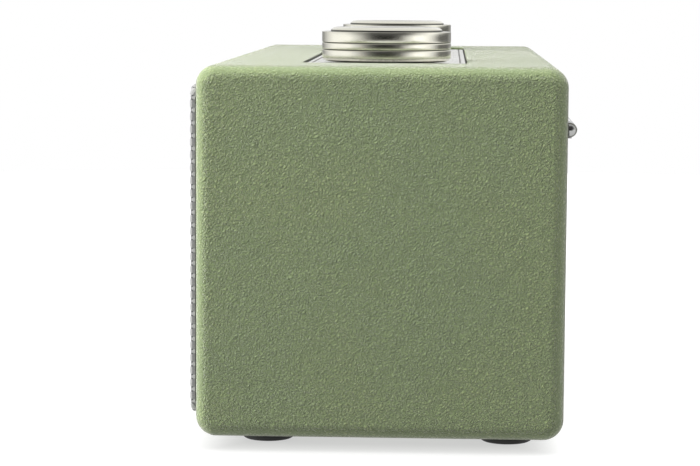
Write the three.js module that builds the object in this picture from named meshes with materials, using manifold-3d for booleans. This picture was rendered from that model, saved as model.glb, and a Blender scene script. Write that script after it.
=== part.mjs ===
// A tabletop radio speaker: a leatherette-covered box with a cloth grille in front, an inset metal plate with
// two turned knobs and five buttons on top, and a telescopic antenna folded along the back.
// Millimetres. +X is the listener's right, -Y is the front and +Z is up. The origin is on the surface that
// the feet stand on, under the centre of the whole object.
import * as THREE from 'three';
import Module from 'manifold-3d';
import { mergeVertices } from 'three/addons/utils/BufferGeometryUtils.js';

const wasm = await Module();
wasm.setup();

// ---- Driving dimensions ----

const GAP = 0.3; // clearance between pieces that meet

const LENGTH = 347; // the covered box along X
const DEPTH = 150; // the covered box along Y
const HEIGHT = 151.5; // the covered box along Z
const EDGE_RADIUS = 8.4; // its four long edges
const END_RADIUS = 6; // the rims of its two end faces
const SKIN = 1.2; // leatherette
const WALL = 9; // fibreboard
const POST = 10; // side of a square corner post

const FOOT_HEIGHT = 5.5;
const FOOT_RADIUS = 11;
const FOOT_X = 141;
const FOOT_Y = 49.8;
const FOOT_SETBACK = 2.6; // the four feet's centre, behind the box's

const GRILLE_MARGIN = 8.25; // from the box's outline to the grille's
const GRILLE_PROUD = 2.85; // how far the cloth stands in front of the box
const CLOTH = 0.5;
const BAFFLE = 9;
const PEG_X = 156;
const PEG_Z = 55; // above and below the grille's middle

const DRIVER_X = 95;
const DRIVER_RADIUS = 43; // the basket's flange
const DRIVER_HOLE = 38; // the baffle's hole

const PANEL = 3; // the rear panel's thickness
const PANEL_RECESS = 1.7;
const PORT_X = 85;
const PORT_Z = 70;
const SOCKET_Z = 40; // height of the row of rear sockets
const SWITCH_X = -50;

const PLATE_LENGTH = 266.4;
const PLATE_WIDTH = 68.2;
const PLATE_RADIUS = 5;
const PLATE = 2; // thickness
const PLATE_RECESS = 1; // below the leatherette
const GASKET = 0.8; // width of the dark ring round the plate

const KNOB_X = 99.5;
const KNOB_RADIUS = 27.7;
const KNOB_HEIGHT = 12.7;
const KNOB_LIFT = 0.8; // its skirt above the plate
const CAP_RADIUS = 24;
const CAP_RISE = 1.9;
const SHAFT_RADIUS = 3;
const BUSH_RADIUS = 4.5;

const DISPLAY_Y = 8;
const DISPLAY_LENGTH = 76;
const DISPLAY_WIDTH = 24;
const BUTTON_Y = -19;
const BUTTON_PITCH = 20;
const BUTTON_COUNT = 5;
const BUTTON_PROUD = 0.9;
const BUTTON_LENGTH = 12;
const BUTTON_WIDTH = 6;

const ANTENNA_PIVOT_X = -106;
const ANTENNA_Z = 128.4;
const ANTENNA_BEHIND = 3.6; // its axis behind the box
const ANTENNA_RADIUS = 3.25;
const ANTENNA_LENGTH = 218.5; // folded, from the hinge to the tip

// ---- Derived places ----

const FLOOR = FOOT_HEIGHT; // the box's underside
const ROOF = FOOT_HEIGHT + HEIGHT; // the box's top
const MIDDLE = FOOT_HEIGHT + HEIGHT / 2;
const INSET = SKIN + GAP + WALL; // from the covered outside to the cavity
const CAVITY_X = LENGTH / 2 - INSET;
const CAVITY_Z = HEIGHT / 2 - INSET; // above and below the middle
const FRONT = -DEPTH / 2;
const BACK = DEPTH / 2;
const BAFFLE_FRONT = FRONT + SKIN + GAP;
const BAFFLE_BACK = BAFFLE_FRONT + BAFFLE;
const PANEL_BACK = BACK - PANEL_RECESS;
const PANEL_FRONT = PANEL_BACK - PANEL;
const PLATE_TOP = ROOF - PLATE_RECESS;
const PLATE_UNDER = PLATE_TOP - PLATE;
const CUTOUT_LENGTH = PLATE_LENGTH + 2 * (GASKET + 2 * GAP);
const CUTOUT_WIDTH = PLATE_WIDTH + 2 * (GASKET + 2 * GAP);
const CUTOUT_RADIUS = PLATE_RADIUS + GASKET + 2 * GAP;
const BOARD_TOP = PLATE_UNDER - 13.7; // the control board hangs under the plate
const POST_X = CAVITY_X - POST / 2;
const POST_Z = CAVITY_Z - POST / 2;
const BUTTON_XS = Array.from(
  { length: BUTTON_COUNT }, (_, i) => (i - (BUTTON_COUNT - 1) / 2) * BUTTON_PITCH);
const ANTENNA_Y = BACK + ANTENNA_BEHIND;
// The folded antenna stands further out than the grille, so the box sits a little forward of the origin.
const CENTRING = (GRILLE_PROUD - ANTENNA_BEHIND - ANTENNA_RADIUS) / 2;

// ---- Finishes ----

function finish(color, roughness, metalness) {
  return new THREE.MeshStandardMaterial({ color, roughness, metalness });
}

const LEATHERETTE = finish(0x8b9b74, 0.6, 0);
const FIBREBOARD = finish(0x9a7b55, 0.9, 0);
const BLACK_PAINT = finish(0x1c1c1c, 0.8, 0);
const CLOTH_WEAVE = finish(0x8f8f8a, 0.9, 0);
const BLACK_PLASTIC = finish(0x202122, 0.55, 0);
const NICKEL = finish(0xb9b5a6, 0.32, 1);
const SATIN_PLATE = finish(0xc9c9c2, 0.4, 1);
const CHROME = finish(0xd8d8d8, 0.12, 1);
const STEEL = finish(0x9a9c9e, 0.4, 1);
const IRON = finish(0x3c3d40, 0.5, 0.8);
const ALUMINIUM = finish(0xb8babc, 0.45, 1);
const PAPER = finish(0x2b2a28, 0.95, 0);
const RUBBER = finish(0x1a1a1a, 0.85, 0);
const GLASS = finish(0x101418, 0.05, 0);
const BOARD_GREEN = finish(0x1f5a3a, 0.6, 0);
const COPPER = finish(0xb46a3c, 0.4, 1);

// ---- Solids ----

// Shares a geometry's vertices and drops the triangles that close up, such as those on a lathe's axis.
function welded(geometry) {
  geometry.deleteAttribute('normal');
  geometry.deleteAttribute('uv');
  const merged = mergeVertices(geometry, 1e-4);
  const index = merged.index.array;
  const kept = [];
  for (let i = 0; i < index.length; i += 3) {
    const [a, b, c] = index.slice(i, i + 3);
    if (a !== b && b !== c && c !== a) kept.push(a, b, c);
  }
  merged.setIndex(kept);
  return merged;
}

function solid(geometry) {
  const closed = welded(geometry);
  const vertProperties = new Float32Array(closed.attributes.position.array);
  const triVerts = new Uint32Array(closed.index.array);
  return new wasm.Manifold(new wasm.Mesh({ numProp: 3, vertProperties, triVerts }));
}

function joined(first, ...others) {
  return others.reduce((whole, other) => whole.add(other), first);
}

function cut(first, ...others) {
  return others.reduce((whole, other) => whole.subtract(other), first);
}

// A box between two limits on each axis.
function block([x0, x1], [y0, y1], [z0, z1]) {
  const geometry = new THREE.BoxGeometry(x1 - x0, y1 - y0, z1 - z0);
  return solid(geometry.translate((x0 + x1) / 2, (y0 + y1) / 2, (z0 + z1) / 2));
}

// Limits centred on a value.
function around(centre, size) {
  return [centre - size / 2, centre + size / 2];
}

// Turns a geometry that stands along +Y so that it stands along another axis.
function along(axis, geometry) {
  if (axis === 'x') return geometry.rotateZ(-Math.PI / 2);
  if (axis === 'z') return geometry.rotateX(Math.PI / 2);
  return geometry;
}

// A round bar along an axis between two heights on it, through [x, y, z] whose value on that axis is ignored.
function bar(axis, [x, y, z], radius, from, to, sides = 20) {
  const geometry = along(axis, new THREE.CylinderGeometry(radius, radius, to - from, sides));
  const middle = (from + to) / 2;
  if (axis === 'x') return solid(geometry.translate(middle, y, z));
  if (axis === 'y') return solid(geometry.translate(x, middle, z));
  return solid(geometry.translate(x, y, middle));
}

// A turned shape from an outline of [radius, height] pairs that runs outwards, up and back in.
function turned(axis, outline, sides = 20) {
  const points = outline.map(([radius, height]) => new THREE.Vector2(radius, height));
  return solid(along(axis, new THREE.LatheGeometry(points, sides)));
}

// A turned ring, whose outline closes on itself away from the axis.
function turnedRing(axis, outline, sides = 20) {
  return turned(axis, [...outline, outline[0]], sides);
}

function roundedOutline(width, height, radius) {
  const x = width / 2 - radius;
  const y = height / 2 - radius;
  const shape = new THREE.Shape();
  shape.absarc(x, y, radius, 0, Math.PI / 2);
  shape.absarc(-x, y, radius, Math.PI / 2, Math.PI);
  shape.absarc(-x, -y, radius, Math.PI, 1.5 * Math.PI);
  shape.absarc(x, -y, radius, 1.5 * Math.PI, 2 * Math.PI);
  shape.closePath();
  return shape;
}

// A flat slab with rounded corners, lying in XY.
function slab(length, width, radius, z0, z1, corner = 4) {
  const options = { depth: z1 - z0, bevelEnabled: false, curveSegments: corner };
  return solid(new THREE.ExtrudeGeometry(roundedOutline(length, width, radius), options).translate(0, 0, z0));
}

// The same slab standing up in XZ, between two depths.
function uprightSlab(length, height, radius, y0, y1) {
  const lying = slab(length, height, radius, 0, y1 - y0);
  return lying.rotate([90, 0, 0]).translate([0, y1, MIDDLE]);
}

// The box's outside, drawn in by an inset: a bar of rounded section along X whose end rims are rounded too.
function roundedBox(inset) {
  const end = END_RADIUS - inset;
  const shape = roundedOutline(DEPTH - 2 * inset, HEIGHT - 2 * inset, EDGE_RADIUS - inset);
  const half = LENGTH / 2 - inset - end;
  const geometry = new THREE.ExtrudeGeometry(shape, {
    depth: 2 * half,
    curveSegments: 4,
    bevelThickness: end,
    bevelSize: end,
    bevelOffset: -end,
    bevelSegments: 3,
  });
  const [x, y, z] = [[1, 0, 0], [0, 1, 0], [0, 0, 1]].map((v) => new THREE.Vector3(...v));
  geometry.translate(0, 0, -half).applyMatrix4(new THREE.Matrix4().makeBasis(y, z, x));
  return solid(geometry.translate(0, 0, MIDDLE));
}

// A named mesh of a solid, added to a group.
function place(group, name, shape, material, position = [0, 0, 0]) {
  const { vertProperties, triVerts } = shape.getMesh();
  const geometry = new THREE.BufferGeometry();
  geometry.setAttribute('position', new THREE.BufferAttribute(vertProperties, 3));
  geometry.setIndex(new THREE.BufferAttribute(triVerts, 1));
  geometry.computeVertexNormals();
  const mesh = new THREE.Mesh(geometry, material);
  mesh.name = name;
  mesh.position.set(...position);
  group.add(mesh);
  return mesh;
}

// ---- Cabinet ----

// The way through the box from front to back.
function throughWay() {
  return block(around(0, 2 * CAVITY_X), around(0, 2 * DEPTH), around(MIDDLE, 2 * CAVITY_Z));
}

// The hole in the top that the plate and its gasket lie in.
function topCutout() {
  return slab(CUTOUT_LENGTH, CUTOUT_WIDTH, CUTOUT_RADIUS, PLATE_UNDER - GAP, ROOF + 1);
}

function leatheretteCover() {
  return cut(roundedBox(0), roundedBox(SKIN), throughWay(), topCutout());
}

function screwPlaces() {
  return [[-POST_X, -POST_Z], [POST_X, -POST_Z], [-POST_X, POST_Z], [POST_X, POST_Z]];
}

const SCREW_HOLE = 2.05;
const SCREW_LENGTH = 12.6;

function cornerPost([x, z]) {
  const run = [BAFFLE_BACK + GAP, PANEL_FRONT - GAP];
  const post = block(around(x, POST + 0.4), run, around(MIDDLE + z, POST + 0.4));
  return cut(post, bar('y', [x, 0, MIDDLE + z], SCREW_HOLE, PANEL_FRONT - SCREW_LENGTH, BACK, 12));
}

function carcass() {
  const ledge = 6;
  const throat = slab(
    CUTOUT_LENGTH - 2 * ledge, CUTOUT_WIDTH - 2 * ledge, CUTOUT_RADIUS, MIDDLE, ROOF);
  const shell = cut(roundedBox(SKIN + GAP), throughWay(), topCutout(), throat);
  return joined(shell, ...screwPlaces().map(cornerPost));
}

function frontBaffle() {
  const board = block(
    around(0, 2 * (CAVITY_X - GAP)), [BAFFLE_FRONT, BAFFLE_BACK], around(MIDDLE, 2 * (CAVITY_Z - GAP)));
  const holes = [-DRIVER_X, DRIVER_X].map(
    (x) => bar('y', [x, 0, MIDDLE], DRIVER_HOLE, FRONT, 0, 28));
  const pegHoles = pegPlaces().map(([x, z]) => bar('y', [x, 0, z], 3.3, FRONT, 0, 12));
  return cut(board, ...holes, ...pegHoles);
}

// ---- Grille ----

const GRILLE_LENGTH = LENGTH - 2 * GRILLE_MARGIN;
const GRILLE_HEIGHT = HEIGHT - 2 * GRILLE_MARGIN;
const GRILLE_RADIUS = 6;
const GRILLE_BACK = FRONT - GAP;

function pegPlaces() {
  return [[-1, -1], [1, -1], [-1, 1], [1, 1]].map(([x, z]) => [x * PEG_X, MIDDLE + z * PEG_Z]);
}

function grilleFrame() {
  const wrap = 2 * (CLOTH + GAP);
  const front = FRONT - GRILLE_PROUD + CLOTH + GAP;
  const plate = uprightSlab(
    GRILLE_LENGTH - wrap, GRILLE_HEIGHT - wrap, GRILLE_RADIUS - wrap / 2, front, GRILLE_BACK);
  const side = [47, 150];
  const height = around(MIDDLE, 112);
  const depth = around(FRONT, 12);
  const windows = [block([-side[1], -side[0]], depth, height), block([-42, 42], depth, height),
    block(side, depth, height)];
  const pegs = pegPlaces().map(([x, z]) => bar('y', [x, 0, z], 3, front + 0.5, FRONT + 6.5, 12));
  return joined(cut(plate, ...windows), ...pegs);
}

// The cloth and its turned-over edges, open towards the box.
function grilleCloth() {
  const outer = uprightSlab(GRILLE_LENGTH, GRILLE_HEIGHT, GRILLE_RADIUS, FRONT - GRILLE_PROUD, GRILLE_BACK);
  const inner = uprightSlab(
    GRILLE_LENGTH - 2 * CLOTH, GRILLE_HEIGHT - 2 * CLOTH, GRILLE_RADIUS - CLOTH,
    FRONT - GRILLE_PROUD + CLOTH, FRONT);
  return cut(outer, inner);
}

// ---- Drivers: turned about their own +Y, measured from the baffle's back ----

function driverBasket() {
  const ring = turnedRing('y', [
    [36.2, GAP], [DRIVER_RADIUS, GAP], [DRIVER_RADIUS, 2.3], [38, 2.3], [24, 24], [24, 26],
    [12.5, 26], [12.5, 24.4], [22.4, 24.4], [36.2, 4.6],
  ]);
  const slot = 22;
  const depth = [6, 20];
  return cut(
    ring, block(around(0, 100), depth, around(0, slot)), block(around(0, slot), depth, around(0, 100)));
}

function driverMagnet() {
  return turned('y', [
    [0, 27], [9, 27], [9, 38], [11.9, 38], [11.9, 26.6], [24, 26.6], [24, 41], [0, 41],
  ]);
}

function driverSurround() {
  return turnedRing('y', [
    [31.3, 3], [32.2, 1.4], [33.6, 0.8], [35, 1.4], [35.9, 3], [35.9, 3.8], [33.6, 1.6], [31.3, 3.8],
  ]);
}

function driverCone() {
  return turned('y', [
    [0, 13], [5, 13.4], [9, 14.8], [12, 17], [31, 3], [31, 3.8], [12.6, 18], [11.3, 20.6],
    [9.9, 20.6], [8.4, 15.6], [4.6, 14.2], [0, 13.8],
  ]);
}

function voiceCoil() {
  return turnedRing('y', [[9.5, 20.9], [11.3, 20.9], [11.3, 35], [9.5, 35]]);
}

function addDriver(radio, side, x) {
  const driver = new THREE.Group();
  driver.position.set(x, BAFFLE_BACK, MIDDLE);
  place(driver, `${side}_driver_basket`, driverBasket(), STEEL);
  place(driver, `${side}_driver_magnet`, driverMagnet(), IRON);
  place(driver, `${side}_driver_surround`, driverSurround(), RUBBER);
  place(driver, `${side}_driver_cone`, driverCone(), PAPER);
  place(driver, `${side}_voice_coil`, voiceCoil(), COPPER);
  radio.add(driver);
}

// ---- Rear panel and what is in it ----

const SOCKETS = [
  { name: 'dc_inlet', x: -120, radius: 5.5, bore: 2.9, body: [14, 12], pin: 0.9 },
  { name: 'aux_jack', x: -98, radius: 4, bore: 1.8, body: [9, 9] },
  { name: 'headphone_jack', x: -80, radius: 4, bore: 1.8, body: [9, 9] },
];
const SWITCH_BODY = [19, 12.8];

function rearPanel() {
  const all = [PANEL_FRONT - 1, PANEL_BACK + 1];
  const board = block(
    around(0, 2 * (CAVITY_X - GAP)), [PANEL_FRONT, PANEL_BACK], around(MIDDLE, 2 * (CAVITY_Z - GAP)));
  const hole = (x, z, radius, sides) => bar('y', [x, 0, z], radius, ...all, sides);
  const switchHole = block(
    around(SWITCH_X, SWITCH_BODY[0] + 2 * GAP), all, around(SOCKET_Z, SWITCH_BODY[1] + 2 * GAP));
  return cut(
    board,
    hole(PORT_X, PORT_Z, 17.3, 24),
    hole(ANTENNA_PIVOT_X, ANTENNA_Z, 7.3, 20),
    switchHole,
    ...screwPlaces().map(([x, z]) => hole(x, MIDDLE + z, SCREW_HOLE, 12)),
    ...SOCKETS.map(({ x, radius }) => hole(x, SOCKET_Z, radius + GAP, 16)));
}

// A pan-head screw through the rear panel, its axis along +Y.
function rearScrew() {
  const under = PANEL_BACK + GAP;
  const tip = PANEL_FRONT - SCREW_LENGTH + 1;
  return turned('y', [
    [0, tip], [1.1, tip + 0.6], [1.75, tip + 2.5], [1.75, under], [3.3, under], [3.3, under + 0.7],
    [2.2, BACK], [0, BACK],
  ], 12);
}

function bassPort() {
  const flange = PANEL_BACK + GAP;
  return turnedRing('y', [
    [15, 22], [17, 22], [17, flange], [21, flange], [21, flange + 0.8], [20.4, flange + 1.2],
    [16.4, flange + 1.2], [15, flange - 1],
  ]);
}

// A round socket: a barrel through the panel on a square body behind it.
function socket({ radius, bore, body: [width, height], pin }) {
  const mouth = PANEL_BACK + 0.9;
  const body = block(around(0, width), [56, PANEL_FRONT - GAP], around(0, height));
  const barrel = bar('y', [0, 0, 0], radius, PANEL_FRONT - 1, mouth, 16);
  const shell = cut(joined(body, barrel), bar('y', [0, 0, 0], bore, 62, BACK, 16));
  return pin ? joined(shell, bar('y', [0, 0, 0], pin, 61, PANEL_BACK - 1, 8)) : shell;
}

const ROCKER_PIVOT_Y = PANEL_BACK - 3.8;

function switchHousing() {
  const [length, height] = SWITCH_BODY;
  const flange = block(around(0, 23), [PANEL_BACK + GAP, PANEL_BACK + 1.3], around(0, 16));
  const body = block(around(0, length), [58, PANEL_BACK + 1], around(0, height));
  return cut(joined(flange, body), block(around(0, 17.4), [64.6, BACK], around(0, 10.8)));
}

// The rocker, extruded across its pivot: a shallow V on top and a rounded foot.
function switchRocker() {
  const shape = new THREE.Shape();
  shape.moveTo(-7.6, 4.2);
  shape.lineTo(-7.6, 1.5);
  shape.lineTo(-3, -2.6);
  shape.lineTo(3, -2.6);
  shape.lineTo(7.6, 1.5);
  shape.lineTo(7.6, 4.2);
  shape.lineTo(0, 3.3);
  shape.closePath();
  const width = 10;
  const geometry = new THREE.ExtrudeGeometry(shape, { depth: width, bevelEnabled: false });
  return solid(geometry.translate(0, 0, -width / 2));
}

function addRearFittings(radio) {
  place(radio, 'rear_panel', rearPanel(), BLACK_PLASTIC);
  place(radio, 'bass_port', bassPort(), BLACK_PLASTIC, [PORT_X, 0, PORT_Z]);
  screwPlaces().forEach(([x, z], i) => {
    place(radio, `rear_screw_${i + 1}`, rearScrew(), STEEL, [x, 0, MIDDLE + z]);
  });
  for (const fitting of SOCKETS) {
    place(radio, fitting.name, socket(fitting), BLACK_PLASTIC, [fitting.x, 0, SOCKET_Z]);
  }
  place(radio, 'power_switch_housing', switchHousing(), BLACK_PLASTIC, [SWITCH_X, 0, SOCKET_Z]);
  const rocker = place(
    radio, 'power_switch_rocker', switchRocker(), BLACK_PLASTIC, [SWITCH_X, ROCKER_PIVOT_Y, SOCKET_Z]);
  rocker.rotation.z = THREE.MathUtils.degToRad(-7);
}

// ---- Top plate and controls ----

function topPlate() {
  const plate = slab(PLATE_LENGTH, PLATE_WIDTH, PLATE_RADIUS, PLATE_UNDER, PLATE_TOP);
  const lineIn = 2;
  const line = (inset) => slab(
    PLATE_LENGTH - 2 * inset, PLATE_WIDTH - 2 * inset, PLATE_RADIUS - inset, PLATE_TOP - 0.4, ROOF, 3);
  const through = [PLATE_UNDER - 1, ROOF];
  const window = block(
    around(0, DISPLAY_LENGTH + 2 * GAP), around(DISPLAY_Y, DISPLAY_WIDTH + 2 * GAP), through);
  const slots = BUTTON_XS.map(
    (x) => block(around(x, BUTTON_LENGTH + 2 * GAP), around(BUTTON_Y, BUTTON_WIDTH + 2 * GAP), through));
  const bushHoles = [-KNOB_X, KNOB_X].map((x) => bar('z', [x, 0, 0], BUSH_RADIUS + GAP, 0, ROOF, 16));
  const studs = [[-68, -22], [68, -22], [-68, 22], [68, 22]].map(
    ([x, y]) => bar('z', [x, y, 0], 3, BOARD_TOP + GAP, PLATE_UNDER + 0.5, 10));
  const engraved = cut(plate, cut(line(lineIn), line(lineIn + 0.6)), window, ...slots, ...bushHoles);
  return joined(engraved, ...studs);
}

function plateGasket() {
  const inner = PLATE_LENGTH + 2 * GAP;
  const across = PLATE_WIDTH + 2 * GAP;
  const ring = slab(
    inner + 2 * GASKET, across + 2 * GASKET, PLATE_RADIUS + GAP + GASKET, PLATE_UNDER, PLATE_TOP);
  return cut(ring, slab(inner, across, PLATE_RADIUS + GAP, 0, ROOF));
}

function displayLens() {
  return slab(DISPLAY_LENGTH, DISPLAY_WIDTH, 1, PLATE_UNDER, PLATE_TOP + 0.1, 2);
}

function displayModule() {
  return block(around(0, 84), around(0, 29.2), [BOARD_TOP + GAP, PLATE_UNDER - GAP]);
}

const TACT_HEIGHT = 4.4;

// The board under the plate, with a tactile switch under each button.
function controlBoard() {
  const board = block(around(0, 248), around(0, 54), [BOARD_TOP - 1.6, BOARD_TOP]);
  const switches = BUTTON_XS.map(
    (x) => block(around(x, 6), around(BUTTON_Y, 6), [BOARD_TOP - 0.5, BOARD_TOP + TACT_HEIGHT]));
  return joined(board, ...switches);
}

// A button: its cap in the plate's slot, a flange that holds it under the plate, and a stem to its switch.
function presetButton() {
  const flangeTop = PLATE_UNDER - GAP;
  return joined(
    slab(BUTTON_LENGTH, BUTTON_WIDTH, 0.8, flangeTop - 0.5, PLATE_TOP + BUTTON_PROUD, 2),
    block(around(0, 14), around(0, 8), [flangeTop - 1.2, flangeTop]),
    block(around(0, 3), around(0, 3), [BOARD_TOP + TACT_HEIGHT + 0.8, flangeTop - 1]));
}

const BUSH_TOP = PLATE_TOP + 2.2;
const CONTROL_HEIGHT = 7.3;

// The body of a rotary control on the board, with its threaded bush up through the plate.
function rotaryControl(size) {
  const body = block(around(0, size), around(0, size), [BOARD_TOP + GAP, BOARD_TOP + CONTROL_HEIGHT]);
  const bush = bar('z', [0, 0, 0], BUSH_RADIUS, BOARD_TOP + CONTROL_HEIGHT - 1, BUSH_TOP, 16);
  return cut(joined(body, bush), bar('z', [0, 0, 0], SHAFT_RADIUS + GAP, BOARD_TOP + 1.9, ROOF + 5, 16));
}

const ROTOR_RADIUS = 5.3;
const ROTOR = [BOARD_TOP + 3.2, BOARD_TOP + 6.1]; // its lower and upper face

// The push encoder's housing is hollow round the sleeve that turns with the shaft.
function tuningEncoder() {
  const room = bar('z', [0, 0, 0], ROTOR_RADIUS + GAP, ROTOR[0] - GAP, ROTOR[1] + GAP, 20);
  return cut(rotaryControl(15), room);
}

function tuningRotor() {
  return turnedRing('z', [
    [SHAFT_RADIUS + GAP, ROTOR[0]], [ROTOR_RADIUS, ROTOR[0]], [ROTOR_RADIUS, ROTOR[1]],
    [SHAFT_RADIUS + GAP, ROTOR[1]],
  ], 20);
}

const BORE_TOP = PLATE_TOP + 10.6; // the top of a knob's blind bore
const HUB_RADIUS = 6.5;

function shaft(foot) {
  return bar('z', [0, 0, 0], SHAFT_RADIUS, foot, BORE_TOP - GAP, 16);
}

// A turned knob: a bored hub inside a deep skirt with two grooves round it, and a recess on top for its cap.
function knob() {
  const foot = PLATE_TOP + KNOB_LIFT;
  const top = foot + KNOB_HEIGHT;
  const hub = foot + 2.3;
  const web = foot + 5.4;
  const groove = (z) => [[KNOB_RADIUS, z - 0.3], [KNOB_RADIUS - 0.45, z], [KNOB_RADIUS, z + 0.3]];
  return turned('z', [
    [0, BORE_TOP], [SHAFT_RADIUS + GAP, BORE_TOP], [SHAFT_RADIUS + GAP, hub],
    [HUB_RADIUS, hub], [HUB_RADIUS, web],
    [KNOB_RADIUS - 3, web], [KNOB_RADIUS - 2.4, foot], [KNOB_RADIUS - 1.3, foot], [KNOB_RADIUS, foot + 1.1],
    ...groove(foot + 5.2), ...groove(foot + 8.2),
    [KNOB_RADIUS, top - 0.3], [KNOB_RADIUS - 0.3, top], [CAP_RADIUS + GAP, top],
    [CAP_RADIUS + GAP, top - 1.5], [0, top - 1.5],
  ], 30);
}

// The bevelled cap that stands up out of the knob's recess, very slightly dished.
function knobCap() {
  const top = PLATE_TOP + KNOB_LIFT + KNOB_HEIGHT;
  const base = top - 1.5 + GAP;
  return turned('z', [
    [0, base], [CAP_RADIUS, base], [CAP_RADIUS, top + 0.2], [CAP_RADIUS - 1.5, top + CAP_RISE - 0.3],
    [CAP_RADIUS - 2.1, top + CAP_RISE], [0, top + CAP_RISE - 0.3],
  ], 30);
}

function addTop(radio) {
  place(radio, 'top_plate', topPlate(), SATIN_PLATE);
  place(radio, 'plate_gasket', plateGasket(), RUBBER);
  place(radio, 'display_lens', displayLens(), GLASS, [0, DISPLAY_Y, 0]);
  place(radio, 'display_module', displayModule(), BLACK_PLASTIC, [0, DISPLAY_Y, 0]);
  place(radio, 'control_board', controlBoard(), BOARD_GREEN);
  BUTTON_XS.forEach((x, i) => {
    place(radio, `preset_button_${i + 1}`, presetButton(), SATIN_PLATE, [x, BUTTON_Y, 0]);
  });
  place(radio, 'volume_control', rotaryControl(16), STEEL, [-KNOB_X, 0, 0]);
  place(radio, 'tuning_encoder', tuningEncoder(), STEEL, [KNOB_X, 0, 0]);
  place(radio, 'tuning_rotor', tuningRotor(), BLACK_PLASTIC, [KNOB_X, 0, 0]);
  place(radio, 'volume_shaft', shaft(BOARD_TOP + 2.2), STEEL, [-KNOB_X, 0, 0]);
  place(radio, 'tuning_shaft', shaft(BOARD_TOP + 2.9), STEEL, [KNOB_X, 0, 0]);
  for (const [name, x] of [['volume', -KNOB_X], ['tuning', KNOB_X]]) {
    place(radio, `${name}_knob`, knob(), NICKEL, [x, 0, 0]);
    place(radio, `${name}_knob_cap`, knobCap(), NICKEL, [x, 0, 0]);
  }
}

// ---- Electronics in the cavity ----

const MAIN_BOARD = [FLOOR + 18.5, FLOOR + 20.1]; // its lower and upper face

// The amplifier and tuner board, on four legs, with its three tall capacitors.
function mainBoard() {
  const [under, top] = MAIN_BOARD;
  const board = block([-70, 50], [-50, 40], MAIN_BOARD);
  const corners = [[-64, -44], [44, -44], [-64, 34], [44, 34]];
  const legs = corners.map(([x, y]) => bar('z', [x, y, 0], 3, FLOOR + INSET + GAP, under + 0.5, 10));
  const capacitors = [-50, -34, -18].map((x) => bar('z', [x, -35, 0], 6, top - 0.5, top + 15, 14));
  return joined(board, ...legs, ...capacitors);
}

function heatSink() {
  const foot = MAIN_BOARD[1] + GAP;
  const fins = [22, 26, 30, 34].map((y) => block([-60, -20], around(y, 1.2), [foot, foot + 22]));
  return joined(block([-60, -20], [20, 36], [foot, foot + 3]), ...fins);
}

function tunerModule() {
  const foot = MAIN_BOARD[1] + GAP;
  return block([2, 38], [-30, -4], [foot, foot + 8]);
}

// ---- Feet ----

// A foot with a rounded tread, hollow underneath round its screw.
function foot() {
  const top = FOOT_HEIGHT - GAP;
  return turned('z', [
    [0, 3], [4, 3], [4, 0], [FOOT_RADIUS - 1, 0], [FOOT_RADIUS - 0.3, 0.5], [FOOT_RADIUS, 1.4],
    [FOOT_RADIUS, top], [0, top],
  ]);
}

function addFeet(radio) {
  const corners = [
    ['front_left', -1, -1], ['front_right', 1, -1], ['rear_left', -1, 1], ['rear_right', 1, 1],
  ];
  for (const [corner, x, y] of corners) {
    place(radio, `${corner}_foot`, foot(), RUBBER, [x * FOOT_X, y * FOOT_Y + FOOT_SETBACK, 0]);
  }
}

// ---- Antenna: along +X from its hinge, which is the group's origin ----

const LUG_RADIUS = 3;
const EAR_INNER = 2;
const SWIVEL_BACK = PANEL_BACK + 1.1 - ANTENNA_Y; // the swivel head's lower face
const TUBES = [
  { radius: ANTENNA_RADIUS, bore: 2.65, from: 5, to: 205 },
  { radius: 2.4, bore: 1.9, from: 10, to: 208.5 },
  { radius: 1.65, bore: 1.2, from: 12, to: 212 },
  { radius: 0.95, from: 14, to: 213.5 },
];

// A flanged bush through the rear panel, which the swivel's spindle turns in.
function antennaMount() {
  const face = PANEL_BACK + GAP - ANTENNA_Y;
  const inside = 58 - ANTENNA_Y;
  return turnedRing('y', [
    [4.3, inside], [7, inside], [7, face], [9, face], [9, face + 0.5], [4.3, face + 0.5],
  ]);
}

// The swivel: a spindle, a thin head and two ears round the hinge pin.
function antennaSwivel() {
  const head = [SWIVEL_BACK, BACK - ANTENNA_Y];
  const spindle = bar('y', [0, 0, 0], 4, 59 - ANTENNA_Y, head[1], 16);
  const plate = bar('y', [0, 0, 0], 6.5, ...head, 20);
  const ears = [[-ANTENNA_RADIUS, -EAR_INNER], [EAR_INNER, ANTENNA_RADIUS]].map((z) => joined(
    block(around(0, 2 * LUG_RADIUS), [head[1] - 0.3, 0], z), bar('z', [0, 0, 0], LUG_RADIUS, ...z, 16)));
  return cut(joined(spindle, plate, ...ears), bar('z', [0, 0, 0], 1.3, -5, 5, 12));
}

function antennaHingePin() {
  return bar('z', [0, 0, 0], 1, -ANTENNA_RADIUS, ANTENNA_RADIUS, 12);
}

// The outer tube, closed at the hinge end by its flat lug.
function outerTube() {
  const { radius, bore, from, to } = TUBES[0];
  const lug = 2 * (EAR_INNER - GAP);
  const flat = joined(
    bar('z', [0, 0, 0], LUG_RADIUS, -lug / 2, lug / 2, 16),
    block([0, from + 1], around(0, 4.4), around(0, lug)));
  const body = cut(
    bar('x', [0, 0, 0], radius, from, to, 16), bar('x', [0, 0, 0], bore, from + 2, to + 1, 16));
  return cut(joined(flat, body), bar('z', [0, 0, 0], 1.3, -5, 5, 12));
}

function innerTube({ radius, bore, from, to }) {
  return cut(bar('x', [0, 0, 0], radius, from, to, 14), bar('x', [0, 0, 0], bore, from - 1, to + 1, 14));
}

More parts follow.
